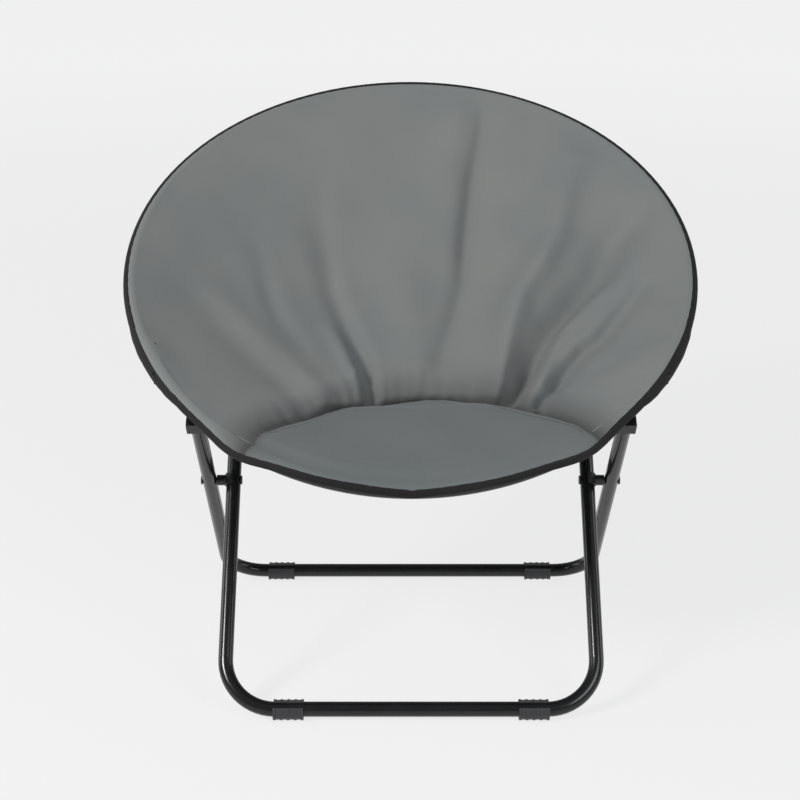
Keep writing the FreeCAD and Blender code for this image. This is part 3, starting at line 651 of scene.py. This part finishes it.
loops = [rim] + [columns * columns + rim_count * step + np.arange(rim_count)
                 for step in range(WRAP_STEPS)]
wrap_faces = [np.stack([inner, outer, np.roll(outer, -1), np.roll(inner, -1)], -1)
              for inner, outer in zip(loops[:-1], loops[1:])]
top_faces = np.concatenate([grid_faces(columns)] + wrap_faces)
face_row = np.concatenate([np.repeat(np.arange(STEPS), STEPS)] + [
    np.minimum(rim // columns, np.roll(rim, -1) // columns) for _ in wrap_faces])
face_row = np.minimum(face_row, STEPS - 1)
top_row = to_row(top_points)
top_normals = face_normals(top_row, top_faces)
depth_in = np.concatenate([(EDGE_R - np.hypot(grid_x, grid_y)).ravel(),
                           np.full(rim_count * WRAP_STEPS, -1.0)])[:, None]
thickness = CLOTH_THICKNESS + (PAD_THICKNESS - CLOTH_THICKNESS) * smooth(depth_in / PAD_RUN)


# The underside follows the face, with its creases softened and the seam's step drawn wide
body = thickness[:columns * columns].reshape(columns, columns)
face_z = top[..., 2]
inner = smooth((body - CLOTH_THICKNESS) / (PAD_THICKNESS - CLOTH_THICKNESS))
bowl_z = bowl_height(grid_x, grid_y)[0]
detail = face_z - bowl_z
low_detail = soften(lowest_near(detail, max(2, STEPS // 50)), max(3, STEPS // 22))
calm_detail = soften(detail, max(1, STEPS // 50))
by_seam = np.exp(-(seam_gap / 45.0) ** 2)
calm_in = smooth((EDGE_R - np.hypot(grid_x, grid_y) - 4.0) / 50.0)
eased = calm_detail + (low_detail - calm_detail) * by_seam - detail
under = face_z - body + np.minimum(eased, 0.5 * body) * calm_in
under_y = np.where(inner > 0.0, grid_y, top[..., 1])
low_points = np.stack([grid_x, under_y, under], -1).reshape(-1, 3)
low_row = top_row - top_normals * thickness * MM
low_row[:columns * columns] += (to_row(low_points) - low_row[:columns * columns]) * inner.reshape(-1, 1)
low_normals = -face_normals(low_row, top_faces)
rim_gap = seam_gap.ravel()[rim]
cloth_uv = top_points[:, :2] * MM
seam_uv = np.stack([np.concatenate([seam_gap.ravel()] + [rim_gap] * WRAP_STEPS),
                    top_points[:, 0]], -1) * MM


def dish_part(name, first, last):
    """Rows of the dish, with the cloth that turns over the tube there, as one closed pad."""
    faces = top_faces[(face_row >= first) & (face_row < last)]
    used, packed = np.unique(faces, return_inverse=True)
    faces = packed.reshape(faces.shape)
    count = len(used)
    starts = faces.ravel()
    ends = np.roll(faces, -1, axis=1).ravel()
    both_ways = np.isin(ends * count + starts, starts * count + ends)
    a, b = starts[~both_ways], ends[~both_ways]
    walls = np.stack([b, a, a + count, b + count], -1)
    verts = np.concatenate([top_row[used], low_row[used]])
    normals = np.concatenate([top_normals[used], low_normals[used]])
    uvs = np.concatenate([cloth_uv[used], cloth_uv[used]])
    seams = np.concatenate([seam_uv[used], seam_uv[used]])
    faces = np.concatenate([faces, faces[:, ::-1] + count, walls])
    return make_object(name, verts, faces, padded_cloth, normals, uvs, seams)


seat_pad = dish_part("seat_pad", 0, FRONT_ROWS)
back_pad = dish_part("back_pad", FRONT_ROWS, STEPS)


def band(name, start, end, low, high, inner, outer, material, steps_round=14, ripple=0.0):
    """A closed strip round the tube between two angles round the hoop."""
    count = max(5, int(abs(end - start) * (1.3)))
    step = (end - start) / (count - 1)
    around = np.sin(np.linspace(0.0, math.pi, steps_round)) ** EDGE_ROUND
    rows = []
    uvs = []
    for angle in start + step * np.arange(-1, count + 1):
        phi = np.linspace(low(angle), high(angle), steps_round)
        wave = ripple * math.sin(angle * 5.3) * math.sin(angle * 2.9 + 1.0)
        girth = inner + hinge_swell(angle)
        tucked = 1.0 - TUCK_SHARE * smooth((phi - TUCK_FROM) / TUCK_RUN)
        radius = np.concatenate([girth + (outer - inner) * around * tucked + wave,
                                 np.full(steps_round, girth)])
        phi = np.concatenate([phi, phi[::-1]])
        rows.append(round_tube(angle, phi, radius))
        uvs.append(np.stack([np.full(2 * steps_round, math.radians(angle) * RING_R),
                             radius * np.radians(phi)], -1) * MM)
    columns = 2 * steps_round
    points = to_row(np.array(rows)).reshape(-1, 3)
    index = np.arange((count + 2) * columns).reshape(count + 2, columns)
    nxt = np.roll(index, -1, axis=1)
    sides = np.stack([index[:-1], index[1:], nxt[1:], nxt[:-1]], -1)
    normals = face_normals(points, sides.reshape(-1, 4))[columns:-columns]
    sides = sides[1:-1].reshape(-1, 4) - columns
    index = index[1:-1] - columns
    caps = []
    for row, flip in ((index[0], False), (index[-1], True)):
        for k in range(steps_round - 1):
            quad = [row[k], row[k + 1], row[columns - 2 - k], row[columns - 1 - k]]
            caps.append(quad[::-1] if flip else quad)
    faces = np.concatenate([sides, np.array(caps)])
    return make_object(name, points[columns:-columns], faces, material, normals,
                       np.array(uvs)[1:-1].reshape(-1, 2))


LEFT_HINGE = -180.0 + HINGE_ANGLE
RIGHT_HINGE = -HINGE_ANGLE
SPANS = {
    "back": (RIGHT_HINGE + BRIDGE_HALF, 180.0 + HINGE_ANGLE - BRIDGE_HALF),
    "seat": (LEFT_HINGE + BRIDGE_HALF, RIGHT_HINGE - BRIDGE_HALF),
    "left_bridge": (LEFT_HINGE - BRIDGE_HALF, LEFT_HINGE + BRIDGE_HALF),
    "right_bridge": (RIGHT_HINGE - BRIDGE_HALF, RIGHT_HINGE + BRIDGE_HALF),
}


sleeves = {}
tapes = {}
for key, (start, end) in SPANS.items():
    sleeves[key] = band(key + "_sleeve", start, end, lambda angle: value_at(TAPE_OUTER, angle) + 3.0,
                        lambda angle: SLEEVE_END, SLEEVE_IN, SLEEVE_OUT, cloth, 24)
    tapes[key] = band(key + "_binding", start, end, lambda angle: value_at(TAPE_OUTER, angle),
                      lambda angle: value_at(TAPE_INNER, angle), SLEEVE_IN, TAPE_OUT, tape, 16, 0.12)

STITCH_SIDES = 6
ARCH_SHARE = np.array([0.0, 0.12, 0.5, 0.88, 1.0])
ARCH_LIFT = np.array([-0.7, 0.25, 0.6, 0.25, -0.7])
ARCH_GIRTH = np.array([0.4, 0.9, 1.0, 0.9, 0.4])


def stitch_row(name, points, normals, size, material):
    """Stitches one after the other along a line on a surface, each a small closed arch of thread."""
    length, gap, radius = (value * MM for value in size)
    run = np.concatenate([[0.0], np.cumsum(np.linalg.norm(np.diff(points, axis=0), axis=1))])
    starts = np.arange(0.0, run[-1] - length, length + gap)
    lift = ARCH_LIFT * radius
    girth = ARCH_GIRTH * radius
    places = starts[:, None] + ARCH_SHARE * length
    centre = np.stack([np.interp(places, run, points[:, k]) for k in range(3)], -1)
    up = np.stack([np.interp(places, run, normals[:, k]) for k in range(3)], -1)
    up = up / np.linalg.norm(up, axis=-1, keepdims=True)
    ahead = centre[:, -1:] - centre[:, :1]
    side = np.cross(ahead / np.linalg.norm(ahead, axis=-1, keepdims=True), up)
    turn = np.arange(STITCH_SIDES) * math.tau / STITCH_SIDES
    spoke = np.cos(turn)[:, None] * up[:, :, None] + np.sin(turn)[:, None] * side[:, :, None]
    verts = (centre + lift[:, None] * up)[:, :, None] + girth[:, None, None] * spoke
    count = len(starts)
    rings = len(ARCH_SHARE)
    index = np.arange(count * rings * STITCH_SIDES).reshape(count, rings, STITCH_SIDES)
    nxt = np.roll(index, -1, axis=2)
    sides = np.stack([index[:, :-1], nxt[:, :-1], nxt[:, 1:], index[:, 1:]], -1).reshape(-1, 4)
    ends = index[:, 0, ::-1].tolist() + index[:, -1].tolist()
    uvs = np.stack([np.repeat(places.ravel(), STITCH_SIDES), np.tile(turn * radius, count * rings)], -1)
    return make_object(name, verts.reshape(-1, 3), sides.tolist() + ends, material, uvs=uvs)


def tape_stitches(name, start, end):
    """A row of stitches near the tape's inner edge."""
    angles = np.arange(start, end, 0.25)
    high = value_at(TAPE_INNER, angles)
    low = value_at(TAPE_OUTER, angles)
    phi = high - TAPE_STITCH_INSET
    crest = np.sin(math.pi * TAPE_STITCH_INSET / (high - low)) ** EDGE_ROUND
    radius = SLEEVE_IN + hinge_swell(angles) + (TAPE_OUT - SLEEVE_IN) * crest
    points = to_row(round_tube(angles, phi, radius))
    outer = to_row(round_tube(angles, phi, radius + 1.0))
    return stitch_row(name, points, (outer - points) / MM, TAPE_STITCH, tape_thread)


def seam_stitches(name, first, last):
    """A row of stitches beside the seam, laid on the padded surface."""
    points = []
    normals = []
    for x in np.arange(first, last, 1.5):
        y = float(seam_y(x)) - SEAM_STITCH_INSET
        origin = to_row(np.array([x, y, 60.0]))
        place, normal, _, _ = pad_surface.ray_cast(Vector(origin), Vector(-NORMAL))
        if place is not None:
            points.append(tuple(place))
            normals.append(tuple(normal))
    return stitch_row(name, np.array(points), np.array(normals), SEAM_STITCH, cover_thread)


pad_surface = BVHTree.FromPolygons(top_row.tolist(), top_faces.tolist())
END_GAP = 0.5
SEAM_LEFT = -196.0
SEAM_RIGHT = 211.0
SPLIT_GAP = 3.0
back_binding_stitches = tape_stitches("back_binding_stitches", SPANS["back"][0] + END_GAP,
                                      SPANS["back"][1] - END_GAP)
seat_binding_stitches = tape_stitches("seat_binding_stitches", SPANS["seat"][0] + END_GAP,
                                      SPANS["seat"][1] - END_GAP)
behind = seam_across[seam_back - SEAM_STITCH_INSET > -HINGE_FORWARD + 1.0]
back_seam_stitches = seam_stitches("back_seam_stitches", behind.min(), behind.max())
left_seam_stitches = seam_stitches("left_seam_stitches", SEAM_LEFT, behind.min() - SPLIT_GAP)
right_seam_stitches = seam_stitches("right_seam_stitches", behind.max() + SPLIT_GAP, SEAM_RIGHT)

# What moves with what
for piece, hoop in ((back_binding_stitches, "back_hoop"), (seat_binding_stitches, "seat_hoop")):
    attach(piece, hoop)
for piece, hoop, side in ((back_seam_stitches, "back_hoop", NORMAL),
                          (left_seam_stitches, "seat_hoop", SEAT_NORMAL),
                          (right_seam_stitches, "seat_hoop", SEAT_NORMAL)):
    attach(piece, hoop)
    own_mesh(piece)
for key, hoop, pad, side in (("back", "back_hoop", back_pad, NORMAL),
                             ("seat", "seat_hoop", seat_pad, SEAT_NORMAL)):
    for piece in (sleeves[key], tapes[key]):
        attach(piece, hoop)
    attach(pad, hoop)
    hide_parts(key + "_cover")
    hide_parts(key + "_hem")
    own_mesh(pad)
for side in ("left", "right"):
    angle = LEFT_HINGE if side == "left" else RIGHT_HINGE
    toward = 1.0 if side == "left" else -1.0
    for offset in (-toward * BRIDGE_HALF, toward * BRIDGE_HALF):
        turn = math.radians(angle + offset)
        tuple(to_row(np.array([RING_R * math.cos(turn), RING_R * math.sin(turn), 0.0])))
    for piece, slot_name in ((sleeves[side + "_bridge"], "cover_fabric"),
                             (tapes[side + "_bridge"], "binding")):
        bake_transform(piece)

# Floor, light and camera
def pick_by_ray(tree, other_ray, unseen, seen, output):
    """Show one shader to the camera and one other kind of ray, and another shader to the rest."""
    path = add_node(tree, "ShaderNodeLightPath")
    either = add_node(tree, "ShaderNodeMath", operation="MAXIMUM")
    tree.links.new(path.outputs["Is Camera Ray"], either.inputs[0])
    tree.links.new(path.outputs[other_ray], either.inputs[1])
    pick = add_node(tree, "ShaderNodeMixShader")
    tree.links.new(either.outputs[0], pick.inputs[0])
    tree.links.new(unseen.outputs[0], pick.inputs[1])
    tree.links.new(seen.outputs[0], pick.inputs[2])
    out = add_node(tree, output)
    tree.links.new(pick.outputs[0], out.inputs["Surface"])


FLOOR_SIZE = 30.0
BACKGROUND = 0.871
floor_mesh = bpy.data.meshes.new("floor")
half = FLOOR_SIZE / 2.0
floor_mesh.from_pydata([(-half, -half, 0), (half, -half, 0), (half, half, 0), (-half, half, 0)],
                       [], [(0, 1, 2, 3)])
floor = bpy.data.objects.new("floor", floor_mesh)
bpy.context.scene.collection.objects.link(floor)
floor_material = bpy.data.materials.new("studio_floor")
floor_material.use_nodes = True
tree = floor_material.node_tree
tree.nodes.clear()
glow = add_node(tree, "ShaderNodeEmission")
floor_place = add_node(tree, "ShaderNodeTexCoord")
floor_reach = add_node(tree, "ShaderNodeVectorMath", operation="LENGTH")
tree.links.new(floor_place.outputs["Object"], floor_reach.inputs[0])
glow_rise = add_node(tree, "ShaderNodeMapRange", interpolation_type="SMOOTHSTEP")
for key, value in (("From Min", 0.6), ("From Max", 6.0), ("To Min", 0.768), ("To Max", 0.84)):
    glow_rise.inputs[key].default_value = value
tree.links.new(floor_reach.outputs["Value"], glow_rise.inputs["Value"])
tree.links.new(glow_rise.outputs["Result"], glow.inputs["Strength"])
matte = add_node(tree, "ShaderNodeBsdfDiffuse", Color=(0.11, 0.11, 0.11, 1.0))
bounce = add_node(tree, "ShaderNodeBsdfDiffuse", Color=(0.7, 0.7, 0.7, 1.0))
both = add_node(tree, "ShaderNodeAddShader")
tree.links.new(glow.outputs[0], both.inputs[0])
tree.links.new(matte.outputs[0], both.inputs[1])
pick_by_ray(tree, "Is Glossy Ray", bounce, both, "ShaderNodeOutputMaterial")
floor_mesh.materials.append(floor_material)

world = bpy.data.worlds.new("studio")
bpy.context.scene.world = world
world.use_nodes = True
tree = world.node_tree
tree.nodes.clear()
ambient = add_node(tree, "ShaderNodeBackground", Color=(0.95, 0.97, 1.0, 1.0), Strength=0.27)
backdrop = add_node(tree, "ShaderNodeBackground", Color=(BACKGROUND,) * 3 + (1.0,), Strength=1.0)
pick_by_ray(tree, "Is Transmission Ray", ambient, backdrop, "ShaderNodeOutputWorld")


def area_light(name, place, target, width, height, power, colour=(1.0, 1.0, 1.0)):
    """A soft box that faces a point."""
    lamp = bpy.data.lights.new(name, "AREA")
    lamp.shape = "RECTANGLE"
    lamp.size = width
    lamp.size_y = height
    lamp.energy = power
    lamp.color = colour
    thing = bpy.data.objects.new(name, lamp)
    bpy.context.scene.collection.objects.link(thing)
    thing.location = place
    heading = Vector(target) - Vector(place)
    thing.rotation_euler = heading.to_track_quat("-Z", "Y").to_euler()


TARGET = (0.0, 0.0, 0.4)
area_light("key", (-2.3, -1.7, 2.2), TARGET, 0.9, 0.9, 90.0, (1.0, 0.99, 0.97))
area_light("fill", (1.7, -2.2, 1.9), TARGET, 1.6, 1.6, 35.0, (0.97, 0.99, 1.0))
area_light("right_strip", (2.4, 0.0, 1.0), TARGET, 0.6, 2.0, 8.0)
area_light("left_strip", (-2.4, 0.3, 0.8), TARGET, 0.6, 2.0, 10.0)

CAMERA_PLACE = (-0.014, -2.0817, 1.0537)
CAMERA_DOWN = 19.68
camera_data = bpy.data.cameras.new("photo_camera")
camera_data.sensor_width = 36.0
camera_data.lens = 72.0
camera = bpy.data.objects.new("photo_camera", camera_data)
bpy.context.scene.collection.objects.link(camera)
camera.location = CAMERA_PLACE
camera.rotation_euler = (math.radians(90.0 - CAMERA_DOWN), 0.0, 0.0)
bpy.context.scene.camera = camera
bpy.context.scene.view_settings.view_transform = "Standard"
